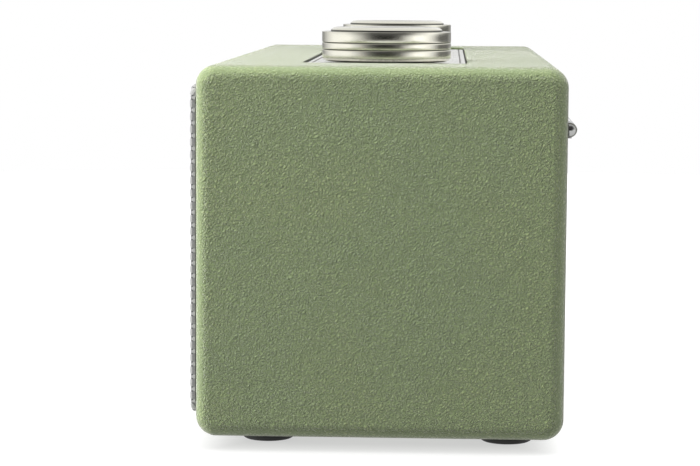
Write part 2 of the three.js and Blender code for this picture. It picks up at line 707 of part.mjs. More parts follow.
// The innermost rod and its domed tip, which is as wide as the outer tube.
function tipRod() {
  const { radius, from, to } = TUBES[3];
  const dome = turned('x', [
    [0, to - 0.5], [ANTENNA_RADIUS, to - 0.5], [ANTENNA_RADIUS, ANTENNA_LENGTH - 2.2],
    [2.6, ANTENNA_LENGTH - 0.8], [1.4, ANTENNA_LENGTH - 0.1], [0, ANTENNA_LENGTH],
  ], 16);
  return joined(bar('x', [0, 0, 0], radius, from, to, 12), dome);
}

// The shelf on the rear panel that the folded antenna lies on.
function antennaRest() {
  const under = -ANTENNA_RADIUS - GAP;
  const face = PANEL_BACK + GAP - ANTENNA_Y;
  return joined(
    block([178, 194], [face, BACK - ANTENNA_Y], [under - 8, under]),
    block([178, 194], [face, ANTENNA_RADIUS - 1.2], [under - 1.4, under]));
}

function addAntenna(radio) {
  const antenna = new THREE.Group();
  antenna.position.set(ANTENNA_PIVOT_X, ANTENNA_Y, ANTENNA_Z);
  place(antenna, 'antenna_mount', antennaMount(), BLACK_PLASTIC);
  place(antenna, 'antenna_swivel', antennaSwivel(), CHROME);
  place(antenna, 'antenna_hinge_pin', antennaHingePin(), STEEL);
  place(antenna, 'antenna_outer_tube', outerTube(), CHROME);
  place(antenna, 'antenna_middle_tube', innerTube(TUBES[1]), CHROME);
  place(antenna, 'antenna_inner_tube', innerTube(TUBES[2]), CHROME);
  place(antenna, 'antenna_tip_rod', tipRod(), CHROME);
  place(antenna, 'antenna_rest', antennaRest(), BLACK_PLASTIC);
  radio.add(antenna);
}

// ---- The radio ----

const radio = new THREE.Group();
radio.position.y = CENTRING;
place(radio, 'cabinet_carcass', carcass(), FIBREBOARD);
place(radio, 'leatherette_cover', leatheretteCover(), LEATHERETTE);
place(radio, 'front_baffle', frontBaffle(), BLACK_PAINT);
place(radio, 'grille_frame', grilleFrame(), BLACK_PLASTIC);
place(radio, 'grille_cloth', grilleCloth(), CLOTH_WEAVE);
addDriver(radio, 'left', -DRIVER_X);
addDriver(radio, 'right', DRIVER_X);
addRearFittings(radio);
addTop(radio);
place(radio, 'main_board', mainBoard(), BOARD_GREEN);
place(radio, 'heat_sink', heatSink(), ALUMINIUM);
place(radio, 'tuner_module', tunerModule(), STEEL);
addFeet(radio);
addAntenna(radio);

const part = new THREE.Group();
part.add(radio);

export default part;
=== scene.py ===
"""A tabletop radio speaker: leatherette box, woven grille, inset metal plate with two turned knobs, rear
panel and folded antenna. Distances are in millimetres in the frame's own axes and become metres when a mesh
is made: +X is the listener's right, -Y is the front with the grille, and +Z is up."""
import math

import bmesh
import bpy
import numpy as np
from mathutils import Matrix, Vector


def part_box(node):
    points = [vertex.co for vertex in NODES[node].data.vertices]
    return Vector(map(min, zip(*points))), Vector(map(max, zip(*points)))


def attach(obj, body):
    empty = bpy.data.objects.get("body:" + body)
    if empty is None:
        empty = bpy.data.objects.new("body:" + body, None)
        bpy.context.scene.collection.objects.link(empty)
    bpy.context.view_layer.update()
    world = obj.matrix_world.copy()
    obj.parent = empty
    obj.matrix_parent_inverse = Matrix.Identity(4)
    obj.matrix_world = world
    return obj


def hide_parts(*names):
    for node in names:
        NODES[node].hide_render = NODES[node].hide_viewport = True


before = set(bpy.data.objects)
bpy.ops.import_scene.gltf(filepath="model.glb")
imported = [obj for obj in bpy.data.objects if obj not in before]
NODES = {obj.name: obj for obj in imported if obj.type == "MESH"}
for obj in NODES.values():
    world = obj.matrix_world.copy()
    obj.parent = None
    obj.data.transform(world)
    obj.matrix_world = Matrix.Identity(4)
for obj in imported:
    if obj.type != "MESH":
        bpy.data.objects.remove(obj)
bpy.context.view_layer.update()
MM = 0.001
TURN = 2 * math.pi


# ---- Places, from the frame ----

def corners(node):
    """A node's lowest and highest corners, in millimetres."""
    lo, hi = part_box(node)
    return lo / MM, hi / MM


def middle(node):
    """A node's middle, in millimetres."""
    lo, hi = corners(node)
    return (lo + hi) / 2


COVER_LO, COVER_HI = corners("leatherette_cover")
CABINET = (COVER_LO + COVER_HI) / 2
PLATE_LO, PLATE_HI = corners("top_plate")
PLATE_TOP = PLATE_HI.z
PLATE_UNDER = PLATE_TOP - 2
PLATE_RADIUS = 5
PANEL_LO, PANEL_HI = corners("rear_panel")
GAP = 0.3  # round anything that sits in a hole


# ---- Mesh making ----

def make(name, points, faces, smooth_under=35):
    """An object from points in millimetres, smooth except across edges sharper than an angle in degrees."""
    mesh = bpy.data.meshes.new(name)
    mesh.from_pydata((np.asarray(points, float) * MM).tolist(), [], faces)
    work = bmesh.new()
    work.from_mesh(mesh)
    bmesh.ops.remove_doubles(work, verts=work.verts, dist=1e-6)
    bmesh.ops.recalc_face_normals(work, faces=work.faces)
    work.to_mesh(mesh)
    work.free()
    mesh.shade_smooth()
    mesh.set_sharp_from_angle(angle=math.radians(smooth_under))
    piece = bpy.data.objects.new(name, mesh)
    bpy.context.scene.collection.objects.link(piece)
    return piece


def move(piece, place):
    """Puts a piece's own origin at a place. A piece's material is centred on its origin."""
    piece.location = Vector(place) * MM
    return piece


def softened(outline, radius, steps=3, closed=False):
    """The outline with each corner rounded by an arc-like curve that starts one radius before it."""
    points = [Vector(p) for p in outline]
    count = len(points)
    out = []
    for i, point in enumerate(points):
        if not closed and i in (0, count - 1):
            out.append(point)
            continue
        before = points[i - 1] - point
        after = points[(i + 1) % count] - point
        reach = min(radius, 0.45 * before.length, 0.45 * after.length)
        start = point + before.normalized() * reach
        end = point + after.normalized() * reach
        for k in range(steps + 1):
            t = k / steps
            out.append(start * (1 - t) ** 2 + point * 2 * t * (1 - t) + end * t ** 2)
    return out


# Turns a piece's own Z to each axis.
AXES = {
    "x": Matrix(((0, 0, 1), (1, 0, 0), (0, 1, 0))),
    "y": Matrix(((1, 0, 0), (0, 0, 1), (0, -1, 0))),
    "z": Matrix.Identity(3),
}


def lathe(name, outline, axis="z", steps=96, closed=False):
    """A turned piece from [radius, height] pairs. A closed outline makes a ring."""
    basis = AXES[axis]
    rings = len(outline)
    angles = [TURN * i / steps for i in range(steps)]
    points = []
    for radius, height in outline:
        for a in angles:
            points.append(basis @ Vector((radius * math.cos(a), radius * math.sin(a), height)))
    faces = []
    for r in range(rings if closed else rings - 1):
        low, high = r * steps, ((r + 1) % rings) * steps
        for i in range(steps):
            j = (i + 1) % steps
            faces.append((low + i, low + j, high + j, high + i))
    piece = make(name, points, faces)
    drop_flat_faces(piece)
    return piece


def drop_flat_faces(piece):
    """Removes the faces without area that are left on the axis once its points are merged."""
    work = bmesh.new()
    work.from_mesh(piece.data)
    bmesh.ops.dissolve_degenerate(work, dist=1e-7, edges=work.edges)
    work.to_mesh(piece.data)
    work.free()


def rounded_rectangle(length, width, radius, arc=10):
    """Points round a rounded rectangle about the origin, with a number of steps on each corner's arc."""
    points = []
    for quarter, (sx, sy) in enumerate(((1, 1), (-1, 1), (-1, -1), (1, -1))):
        cx, cy = sx * (length / 2 - radius), sy * (width / 2 - radius)
        for k in range(arc + 1):
            a = math.pi / 2 * (quarter + k / arc)
            points.append((cx + radius * math.cos(a), cy + radius * math.sin(a)))
    return points


def loft(name, loops, smooth_under=35):
    """A closed solid through loops with the same number of points, capped at both ends."""
    count = len(loops[0])
    points = [p for loop in loops for p in loop]
    faces = [tuple(range(count)), tuple(range(len(points) - count, len(points)))]
    for r in range(len(loops) - 1):
        low, high = r * count, (r + 1) * count
        for i in range(count):
            j = (i + 1) % count
            faces.append((low + i, low + j, high + j, high + i))
    return make(name, points, faces, smooth_under)


def slab(name, length, width, radius, z0, z1, edge=0.0, centre=(0, 0)):
    """A rounded slab lying in XY, its upper rim rounded by an edge radius."""
    cx, cy = centre
    levels = [(z0, 0.0)]
    steps = 4 if edge else 0
    for k in range(steps + 1):
        a = math.pi / 2 * k / max(steps, 1)
        levels.append((z1 - edge + edge * math.sin(a), edge * (1 - math.cos(a))))
    loops = []
    for z, inset in levels:
        ring = rounded_rectangle(length - 2 * inset, width - 2 * inset, max(radius - inset, 0.05))
        loops.append([(cx + x, cy + y, z) for x, y in ring])
    return loft(name, loops)


def bar(name, radius, low, high, axis="z", steps=48):
    """A plain round bar about an axis, to cut a hole with."""
    return lathe(name, [(0, low), (radius, low), (radius, high), (0, high)], axis, steps)


def block(name, lo, hi):
    """A box between two corners."""
    loops = []
    for z in (lo[2], hi[2]):
        loops.append([(lo[0], lo[1], z), (hi[0], lo[1], z), (hi[0], hi[1], z), (lo[0], hi[1], z)])
    return loft(name, loops)


def carve(piece, *tools, join=False):
    """Cuts the tools out of a piece, or joins them to it, and removes them."""
    for tool in tools:
        step = piece.modifiers.new("carve", "BOOLEAN")
        step.operation = "UNION" if join else "DIFFERENCE"
        step.solver = "EXACT"
        step.object = tool
    applied(piece)
    for tool in tools:
        bpy.data.objects.remove(tool)
    return piece


def applied(piece):
    """Makes a piece's modifiers part of its mesh."""
    bpy.context.view_layer.update()
    evaluated = piece.evaluated_get(bpy.context.evaluated_depsgraph_get())
    mesh = bpy.data.meshes.new_from_object(evaluated)
    piece.modifiers.clear()
    piece.data = mesh
    return piece


def bevelled(piece, width, segments=2):
    """Rounds a piece's hard edges and lets its large faces shade flat."""
    edge = piece.modifiers.new("edge", "BEVEL")
    edge.width = width * MM
    edge.segments = segments
    edge.limit_method = "ANGLE"
    edge.angle_limit = math.radians(50)
    edge.use_clamp_overlap = True
    edge.harden_normals = False
    flat = piece.modifiers.new("flat faces", "WEIGHTED_NORMAL")
    flat.keep_sharp = False
    piece.data.shade_smooth()
    for e in piece.data.edges:
        e.use_edge_sharp = False
    return piece


# ---- Materials ----

class Shade:
    """A material with one Principled shader, and short calls for the nodes that feed it."""

    def __init__(self, name, **sockets):
        self.material = bpy.data.materials.new(name)
        self.material.use_nodes = True
        self.nodes = self.material.node_tree.nodes
        self.links = self.material.node_tree.links
        self.shader = self.nodes["Principled BSDF"]
        for socket, value in sockets.items():
            self.shader.inputs[socket.replace("_", " ")].default_value = value
        self.place = self.nodes.new("ShaderNodeTexCoord").outputs["Object"]

    def put(self, value, socket):
        if isinstance(value, bpy.types.NodeSocket):
            self.links.new(value, socket)
        else:
            socket.default_value = value

    def math(self, operation, *values):
        node = self.nodes.new("ShaderNodeMath")
        node.operation = operation
        for i, value in enumerate(values):
            self.put(value, node.inputs[i])
        return node.outputs[0]

    def vector(self, operation, *values):
        node = self.nodes.new("ShaderNodeVectorMath")
        node.operation = operation
        for i, value in enumerate(values):
            self.put(value, node.inputs[i])
        return node.outputs["Vector"]

    def scaled(self, factors, place=None):
        return self.vector("MULTIPLY", place or self.place, factors)

    def split(self, place=None):
        node = self.nodes.new("ShaderNodeSeparateXYZ")
        self.links.new(place or self.place, node.inputs[0])
        return node.outputs

    def facing_an_axis(self):
        """1 on faces square to the piece's own axes, and less where the surface turns between them."""
        normal = self.place.node.outputs["Normal"]
        x, y, z = (self.math("ABSOLUTE", part) for part in self.split(normal))
        return self.math("MAXIMUM", x, self.math("MAXIMUM", y, z))

    def slanted(self, place, stretch):
        """The place turned 45 degrees about X and scaled, so that features run from low -Y to high +Y."""
        node = self.nodes.new("ShaderNodeVectorRotate")
        node.rotation_type = "X_AXIS"
        self.put(place, node.inputs["Vector"])
        node.inputs["Angle"].default_value = math.radians(45)
        return self.scaled((1, 1, stretch), node.outputs[0])

    def noise(self, size, place=None, detail=3.0, roughness=0.5, colour=False):
        """Noise whose features are about a size in millimetres."""
        node = self.nodes.new("ShaderNodeTexNoise")
        self.links.new(place or self.place, node.inputs["Vector"])
        node.inputs["Scale"].default_value = 1 / (size * MM)
        node.inputs["Detail"].default_value = detail
        node.inputs["Roughness"].default_value = roughness
        return node.outputs["Color" if colour else "Fac"]

    def cells(self, size, place=None, feature="DISTANCE_TO_EDGE", randomness=1.0):
        node = self.nodes.new("ShaderNodeTexVoronoi")
        node.feature = feature
        self.links.new(place or self.place, node.inputs["Vector"])
        node.inputs["Scale"].default_value = 1 / (size * MM)
        node.inputs["Randomness"].default_value = randomness
        return node.outputs["Distance"]

    def between(self, value, low, high, out_low=0.0, out_high=1.0):
        """A smooth change from one number to another while a value goes from low to high."""
        node = self.nodes.new("ShaderNodeMapRange")
        node.interpolation_type = "SMOOTHSTEP"
        for i, v in enumerate((value, low, high, out_low, out_high)):
            self.put(v, node.inputs[i])
        return node.outputs[0]

    def mix(self, factor, first, second):
        node = self.nodes.new("ShaderNodeMix")
        node.data_type = "RGBA"
        self.put(factor, node.inputs["Factor"])
        for value, socket in ((first, node.inputs[6]), (second, node.inputs[7])):
            self.put(value if isinstance(value, bpy.types.NodeSocket) else (*value, 1.0), socket)
        return node.outputs[2]

    def bump(self, height, distance, strength=1.0):
        """Relief whose full height is a distance in millimetres."""
        node = self.nodes.new("ShaderNodeBump")
        self.put(strength, node.inputs["Strength"])
        node.inputs["Distance"].default_value = distance * MM
        self.links.new(height, node.inputs["Height"])
        last = self.shader.inputs["Normal"].links
        if last:
            self.links.new(last[0].from_socket, node.inputs["Normal"])
        self.links.new(node.outputs[0], self.shader.inputs["Normal"])

    def colour(self, value):
        self.put(value, self.shader.inputs["Base Color"])

    def rough(self, value):
        self.put(value, self.shader.inputs["Roughness"])


# LEATHER_CREASE_SHADE is painted shade: the darker colour in the pebbles' creases.
LEATHER_LIGHT = (0.146, 0.178, 0.077)
LEATHER_GREY = (0.126, 0.162, 0.079)
LEATHER_CREASE_SHADE = (0.102, 0.133, 0.059)
GRAIN = 1.2  # width of a pebble of the grain
GRAIN_STRETCH = 0.78  # under 1 draws the pebbles out, along a slant across the ends
GRAIN_DEPTH = 1.2  # of the relief in the shader, which is drawn deeper than the real one
GRAIN_WANDER = 0.0016  # how far the pebbles' edges stray, in metres


def leatherette():
    """Sage green leatherette: creased pebbles with painted shade in their creases, a fine tooth over
    them and slow patches of colour. Its grain is drawn flatter where it turns round a rim."""
    s = Shade("leatherette", Sheen_Weight=0.42, Sheen_Roughness=0.4, Sheen_Tint=(1, 0.95, 0.96, 1))
    wander = s.vector("SUBTRACT", s.noise(1.9, detail=2.0, colour=True), (0.5, 0.5, 0.5))
    bent = s.vector("ADD", s.place, s.scaled((GRAIN_WANDER,) * 3, wander))
    pebble = s.between(s.cells(GRAIN, s.slanted(bent, GRAIN_STRETCH)), 0.0, 0.5)
    folds = s.noise(GRAIN, s.slanted(s.place, GRAIN_STRETCH), detail=1.5)
    fold = s.math("ABSOLUTE", s.math("SUBTRACT", folds, 0.5))
    wrinkle = s.between(fold, 0.0, 0.1)
    dents = s.noise(2.6, detail=2.0)
    relief = s.math("ADD", s.math("MULTIPLY", pebble, 0.45), s.math("MULTIPLY", wrinkle, 0.4))
    relief = s.math("ADD", relief, s.math("MULTIPLY", dents, 0.6))
    patches = s.between(s.noise(38, detail=2.0), 0.36, 0.64)
    ground = s.mix(patches, LEATHER_LIGHT, LEATHER_GREY)
    # Painted shade: the colour darkens towards the pebbles' edges, in their creases.
    s.colour(s.mix(s.between(pebble, 0.0, 0.75), LEATHER_CREASE_SHADE, ground))
    s.rough(s.between(pebble, 0.0, 1.0, 0.6, 0.44))
    s.bump(s.noise(0.3, detail=2.0), 0.02)
    s.bump(relief, GRAIN_DEPTH, s.between(s.facing_an_axis(), 0.8, 0.985, 0.4, 1.0))
    return s.material


def turned_metal(name, tint, roughness, line=0.16, depth=0.006):
    """Metal turned on a lathe: fine rings round the piece's own axis."""
    s = Shade(name, Metallic=1.0, Anisotropic=0.3)
    x, y, z = s.split()
    radius = s.math("SQRT", s.math("ADD", s.math("POWER", x, 2.0), s.math("POWER", y, 2.0)))
    along = s.nodes.new("ShaderNodeCombineXYZ")
    s.links.new(s.math("ADD", radius, z), along.inputs[0])
    rings = s.noise(line, along.outputs[0], detail=3.0, roughness=0.7)
    worn = s.noise(9, detail=3.0)
    s.colour(s.mix(s.between(rings, 0.3, 0.7), tuple(0.9 * c for c in tint), tint))
    s.rough(s.math("ADD", s.between(worn, 0.3, 0.7, roughness - 0.02, roughness + 0.03),
                   s.between(rings, 0.3, 0.7, -0.02, 0.04)))
    s.bump(rings, depth)
    tangent = s.nodes.new("ShaderNodeTangent")
    tangent.direction_type = "RADIAL"
    tangent.axis = "Z"
    s.links.new(tangent.outputs[0], s.shader.inputs["Tangent"])
    return s.material


def brushed_plate():
    """Satin plate, brushed along its length."""
    s = Shade("satin_plate", Metallic=1.0)
    brush = s.noise(0.12, s.scaled((0.01, 1, 1)), detail=4.0, roughness=0.7)
    cloud = s.noise(22, detail=3.0)
    s.colour(s.mix(s.between(cloud, 0.3, 0.7), (0.70, 0.70, 0.67), (0.76, 0.76, 0.73)))
    s.rough(s.between(brush, 0.3, 0.7, 0.2, 0.3))
    s.bump(brush, 0.006)
    return s.material


def polished(name, tint, roughness):
    """Plated metal with faint handling marks."""
    s = Shade(name, Metallic=1.0)
    marks = s.noise(6, detail=5.0, roughness=0.65)
    s.colour(s.mix(s.between(marks, 0.3, 0.7), tint, tuple(0.93 * c for c in tint)))
    s.rough(s.between(marks, 0.35, 0.75, roughness, roughness + 0.06))
    s.bump(s.noise(0.6, detail=2.0), 0.001)
    return s.material


def grained(name, dark, light, roughness, size=0.5, relief=0.04, **sockets):
    """A moulded or coated surface with a fine even texture."""
    s = Shade(name, **sockets)
    spark = s.noise(size, detail=3.0, roughness=0.6)
    cloud = s.noise(14, detail=3.0)
    s.colour(s.mix(s.between(s.math("ADD", spark, cloud), 0.8, 1.2), dark, light))
    s.rough(s.between(spark, 0.3, 0.7, roughness - 0.06, roughness + 0.08))
    s.bump(spark, relief)
    return s.material


def fibreboard():
    s = Shade("fibreboard", Specular_IOR_Level=0.3)
    fibres = s.noise(0.9, s.scaled((0.25, 1, 1)), detail=5.0, roughness=0.7)
    s.colour(s.mix(s.between(fibres, 0.3, 0.7), (0.20, 0.125, 0.065), (0.34, 0.235, 0.135)))
    s.rough(s.between(fibres, 0.3, 0.7, 0.8, 0.95))
    s.bump(fibres, 0.05)
    return s.material


PITCH = 2.6  # from one yarn of the grille cloth to the next, on average
PAIRING = 0.24  # how far the yarns that run across are drawn together in pairs


def grille_weave():
    """Plain weave of silver and grey yarns with dark pinholes, placed by the cloth's UV map."""
    s = Shade("grille_weave", Sheen_Weight=0.25, Sheen_Roughness=0.4, Specular_IOR_Level=0.6)
    uv = s.nodes.new("ShaderNodeTexCoord").outputs["UV"]
    u, even, _ = s.split(uv)
    v = s.math("ADD", even, s.math("MULTIPLY", s.math("SINE", s.math("MULTIPLY", even, math.pi)), PAIRING))
    over = s.math("MULTIPLY", s.math("COSINE", s.math("MULTIPLY", u, math.pi)),
                  s.math("COSINE", s.math("MULTIPLY", v, math.pi)))
    warp = s.between(over, -0.08, 0.08)
    twist_u = s.math("SINE", s.math("MULTIPLY", s.math("ADD", s.math("MULTIPLY", u, 2.0), v), 4 * math.pi))
    twist_v = s.math("SINE", s.math("MULTIPLY", s.math("ADD", s.math("MULTIPLY", v, 2.0), u), 4 * math.pi))
    strands = s.math("ADD", s.math("MULTIPLY", warp, twist_u),
                     s.math("MULTIPLY", s.math("SUBTRACT", 1.0, warp), twist_v))
    fuzz = s.noise(0.35, detail=3.0)
    silver = s.mix(s.between(fuzz, 0.3, 0.7), (0.31, 0.31, 0.305), (0.45, 0.45, 0.445))
    grey = s.mix(s.between(fuzz, 0.3, 0.7), (0.155, 0.155, 0.155), (0.24, 0.24, 0.238))
    yarn = s.mix(warp, grey, silver)
    across = s.math("ABSOLUTE", s.math("COSINE", s.math("MULTIPLY", u, math.pi)))
    along = s.math("ABSOLUTE", s.math("COSINE", s.math("MULTIPLY", v, math.pi)))
    gap = s.between(s.math("MAXIMUM", across, along), 0.3, 0.6)
    s.colour(s.mix(gap, (0.015, 0.015, 0.016), yarn))
    s.rough(s.between(warp, 0.0, 1.0, 0.8, 0.42))
    s.bump(strands, 0.05)
    s.bump(s.noise(0.2, detail=2.0), 0.02)
    return s.material


def display_glass():
    s = Shade("display_glass", Specular_IOR_Level=0.6, Coat_Weight=0.6, Coat_Roughness=0.03)
    smear = s.noise(11, detail=4.0)
    s.colour(s.mix(s.between(smear, 0.3, 0.7), (0.006, 0.007, 0.009), (0.011, 0.012, 0.014)))
    s.rough(s.between(smear, 0.3, 0.7, 0.05, 0.12))
    return s.material


def circuit_board():
    s = Shade("circuit_board", Coat_Weight=0.3)
    lanes = s.cells(5, feature="F1", randomness=0.4)
    s.colour(s.mix(s.between(lanes, 0.42, 0.46), (0.018, 0.115, 0.06), (0.035, 0.19, 0.09)))
    s.rough(s.between(s.noise(3), 0.3, 0.7, 0.3, 0.45))
    s.bump(lanes, 0.03)
    return s.material


MATERIALS = {
    "leatherette": leatherette(),
    "fibreboard": fibreboard(),
    "black_board": grained("black_board", (0.010, 0.010, 0.010), (0.022, 0.021, 0.020), 0.75, 0.8),
    "grille_weave": grille_weave(),
    "black_plastic": grained("black_plastic", (0.014, 0.014, 0.015), (0.026, 0.026, 0.028), 0.45,
                             relief=0.05, size=0.45),
    "nickel": turned_metal("nickel", (0.75, 0.735, 0.64), 0.14),
    # A dark metal that stands for painted shade in grooves, on the knob caps' walls and round the antenna
    # tip.
    "black_nickel": polished("black_nickel", (0.16, 0.16, 0.14), 0.4),
    "satin_plate": brushed_plate(),
    "antenna_chrome": polished("antenna_chrome", (0.64, 0.65, 0.66), 0.08),
    "smoked_chrome": polished("smoked_chrome", (0.38, 0.385, 0.375), 0.07),
    "steel": polished("steel", (0.46, 0.47, 0.48), 0.28),
    "magnet_iron": grained("magnet_iron", (0.03, 0.03, 0.032), (0.06, 0.06, 0.062), 0.5, 0.9, Metallic=0.7),
    "cone_paper": grained("cone_paper", (0.016, 0.015, 0.014), (0.036, 0.034, 0.031), 0.85, 1.4, 0.06),
    "black_rubber": grained("black_rubber", (0.012, 0.012, 0.012), (0.024, 0.024, 0.023), 0.7, 0.35, 0.02),
    "display_glass": display_glass(),
    "circuit_board": circuit_board(),
    "sink_aluminium": polished("sink_aluminium", (0.62, 0.63, 0.64), 0.34),
    "coil_copper": polished("coil_copper", (0.62, 0.30, 0.17), 0.3),
}


def finish(piece, slot, body, *replaced):
    """Gives a piece its material and body, and hides the CAD nodes that it stands for."""
    piece.data.materials.clear()
    piece.data.materials.append(MATERIALS[slot])
    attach(piece, body)
    if replaced:
        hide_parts(*replaced)
    return piece


def paint_shade(piece, chosen):
    """Gives a piece's chosen faces a dark metal as painted shade. They are chosen by their middle's
    x, y and z.
    """
    piece.data.materials.append(MATERIALS["black_nickel"])
    for face in piece.data.polygons:
        if chosen(*face.center / MM):
            face.material_index = 1


KEPT_EDGE = 0.15


def keep(slot, *nodes):
    """CAD nodes whose shape is right get the material of their slot and softened edges."""
    for name in nodes:
        node = NODES[name]
        node.data.materials.clear()
        node.data.materials.append(MATERIALS[slot])
        edge = node.modifiers.new("edge", "BEVEL")
        edge.width = KEPT_EDGE * MM
        edge.segments = 2
        edge.angle_limit = math.radians(40)


# ---- Camera, floor and light ----

EYE = (1103.8, 24.9, 188.1)  # where the camera stands
YAW, PITCH_DOWN, ROLL = 2.402, 6.016, 0.361  # degrees, from looking straight along -X
LENS = 119.7


def add_camera():
    data = bpy.data.cameras.new("camera")
    data.lens = LENS
    data.sensor_width = 36
    data.clip_start = 0.05
    camera = bpy.data.objects.new("camera", data)
    bpy.context.scene.collection.objects.link(camera)
    turn = AXES["x"] @ Matrix.Rotation(math.radians(YAW), 3, "Y")
    turn = turn @ Matrix.Rotation(math.radians(-PITCH_DOWN), 3, "X")
    turn = turn @ Matrix.Rotation(math.radians(ROLL), 3, "Z")
    camera.matrix_world = Matrix.Translation(Vector(EYE) * MM) @ turn.to_4x4()
    bpy.context.scene.camera = camera


FLOOR_REACH = 1300
FLOOR_GLOW = 0.76
# Under the box the floor glows less, as a painted shadow that fades out just past the box's footprint.
FLOOR_GLOW_IN_PAINTED_SHADOW = 0.57
PAINTED_SHADOW_FADES = (-0.025, 0.005)  # between these distances past the box's footprint, in metres


def add_floor():
    """A white disc which glows a little by its own emission, and less under the box: that dimming is a
    painted shadow.
    """
    angles = [TURN * i / 64 for i in range(64)]
    ring = [(FLOOR_REACH * math.cos(a), FLOOR_REACH * math.sin(a), -0.1) for a in angles]
    floor = make("floor", ring, [tuple(range(64))])
    s = Shade("floor", Specular_IOR_Level=0.1, Emission_Color=(1, 1, 1, 1))
    x, y, _ = s.split()
    past_end = s.math("SUBTRACT", s.math("ABSOLUTE", x), COVER_HI.x * MM)
    past_side = s.math("SUBTRACT", s.math("ABSOLUTE", s.math("SUBTRACT", y, CABINET.y * MM)),
                       (COVER_HI.y - COVER_LO.y) / 2 * MM)
    outside = s.math("MAXIMUM", past_end, past_side)
    # Painted shadow: the floor's glow drops under the box's footprint.
    glow = s.between(outside, *PAINTED_SHADOW_FADES, FLOOR_GLOW_IN_PAINTED_SHADOW, FLOOR_GLOW)
    s.put(glow, s.shader.inputs["Emission Strength"])
    s.colour(s.mix(s.noise(300), (0.34, 0.34, 0.34), (0.38, 0.38, 0.38)))
    s.rough(0.9)
    floor.data.materials.append(s.material)


# The studio's walls at the horizon and above it, as pairs of degrees from +X towards +Y and brightness.
STUDIO_LOW = (
    (-180, 0.3), (-150, 0.35), (-132, 0.8), (-108, 1.3), (-68, 1.4), (-48, 0.8), (-34, 0.3), (-22, 0.08),
    (-12, 0.02), (10, 0.02), (24, 0.15), (36, 0.75), (54, 1.6), (68, 1.6), (85, 1.2), (98, 0.65),
    (110, 0.17), (140, 0.16), (152, 0.35), (180, 0.3),
)
STUDIO_HIGH = (
    (-180, 1.0), (-130, 0.9), (-80, 1.1), (-50, 0.5), (-25, 0.1), (40, 0.1), (90, 1.5), (180, 1.0),
)
# Between these heights, as sines above the horizon, one gives way to the next.
LOW_TO_HIGH = (0.04, 0.11)
HIGH_TO_TENT = (0.45, 0.9)
TENT_LIGHT = 2.2
TENT_MIRRORED = 1.0  # how bright the tent looks in the metal
TENT_LEAN = (-0.30, -0.06)  # the light tent leans away from the camera and to the grille's side


class Studio:
    """The world's shader: white for the camera, and for everything else dim walls under a light tent."""

    def __init__(self):
        world = bpy.data.worlds.new("studio")
        bpy.context.scene.world = world
        world.use_nodes = True
        self.nodes, self.links = world.node_tree.nodes, world.node_tree.links

    def node(self, kind, *values, operation=None):
        made = self.nodes.new("ShaderNode" + kind)
        if operation:
            made.operation = operation
        for i, value in enumerate(values):
            if isinstance(value, bpy.types.NodeSocket):
                self.links.new(value, made.inputs[i])
            else:
                made.inputs[i].default_value = value
        return made

    def math(self, operation, *values):
        return self.node("Math", *values, operation=operation).outputs[0]

    def mixed(self, factor, first, second):
        return self.math("ADD", first, self.math("MULTIPLY", factor, self.math("SUBTRACT", second, first)))

    def ring(self, round_way, strengths):
        """The strength at a place round the horizon, from stops of degrees and strength."""
        ramp = self.node("ValToRGB", round_way)
        brightest = max(strength for _, strength in strengths)
        stops = ramp.color_ramp.elements
        while len(stops) < len(strengths):
            stops.new(0.5)
        for stop, (degrees, strength) in zip(stops, strengths):
            stop.position = (degrees + 180) / 360
            stop.color = (*(strength / brightest,) * 3, 1)
        return self.math("MULTIPLY", ramp.outputs[0], brightest)

    def build(self):
        x, y, z = self.node("SeparateXYZ", self.node("TexCoord").outputs["Generated"]).outputs
        azimuth = self.math("ARCTAN2", y, x)
        round_way = self.node("MapRange", azimuth, -math.pi, math.pi, 0.0, 1.0).outputs[0]
        above = self.node("MapRange", z, *LOW_TO_HIGH).outputs[0]
        walls = self.mixed(above, self.ring(round_way, STUDIO_LOW), self.ring(round_way, STUDIO_HIGH))
        lean_x, lean_y = (self.math("MULTIPLY", part, lean) for part, lean in zip((x, y), TENT_LEAN))
        leaning = self.math("ADD", z, self.math("ADD", lean_x, lean_y))
        up = self.node("MapRange", leaning, *HIGH_TO_TENT).outputs[0]
        path = self.node("LightPath").outputs
        tent = self.mixed(path["Is Glossy Ray"], TENT_LIGHT, TENT_MIRRORED)
        light = self.mixed(up, walls, tent)
        shown = self.mixed(path["Is Camera Ray"], light, 1.0)
        background = self.nodes["Background"]
        background.inputs["Color"].default_value = (1, 1, 1, 1)
        self.links.new(shown, background.inputs["Strength"])


def add_softbox(name, place, target, size, watts):
    data = bpy.data.lights.new(name, "AREA")
    data.energy = watts
    data.shape = "RECTANGLE"
    data.size, data.size_y = (v * MM for v in size)
    light = bpy.data.objects.new(name, data)
    move(light, place)
    aim = (Vector(target) - Vector(place)).to_track_quat("-Z", "Y")
    light.rotation_euler = aim.to_euler()
    light.visible_glossy = False
    bpy.context.scene.collection.objects.link(light)
    return light


def left_out(*names):
    """What a light falls on: everything but these pieces."""
    others = bpy.data.collections.new("left_out")
    for name in names:
        others.objects.link(bpy.data.objects[name])
    for member in others.collection_objects:
        member.light_linking.link_state = "EXCLUDE"
    return others


def add_lights():
    """Softboxes for the leatherette's face and rims. The floor is lit by the studio alone."""
    key = add_softbox("key_light", (790, -960, 1210), (150, 0, 90), (350, 350), 26)
    top = add_softbox("top_light", (270, -180, 720), (110, -20, 150), (600, 300), 7.8)
    side = add_softbox("side_light", (270, -900, 260), (100, 0, 90), (240, 400), 14)
    key.light_linking.receiver_collection = left_out("floor")
    for light in (top, side):
        light.light_linking.receiver_collection = left_out("floor", "grille_fabric")


# ---- Cabinet ----

EDGE_RADIUS = 8.4
END_RADIUS = 6
SKIN = 1.2  # thickness of the leatherette with its backing
WALL = 10.5  # from the covered outside to the cavity
GASKET_ROOM = 0.6  # between the plate and the cutout it lies in


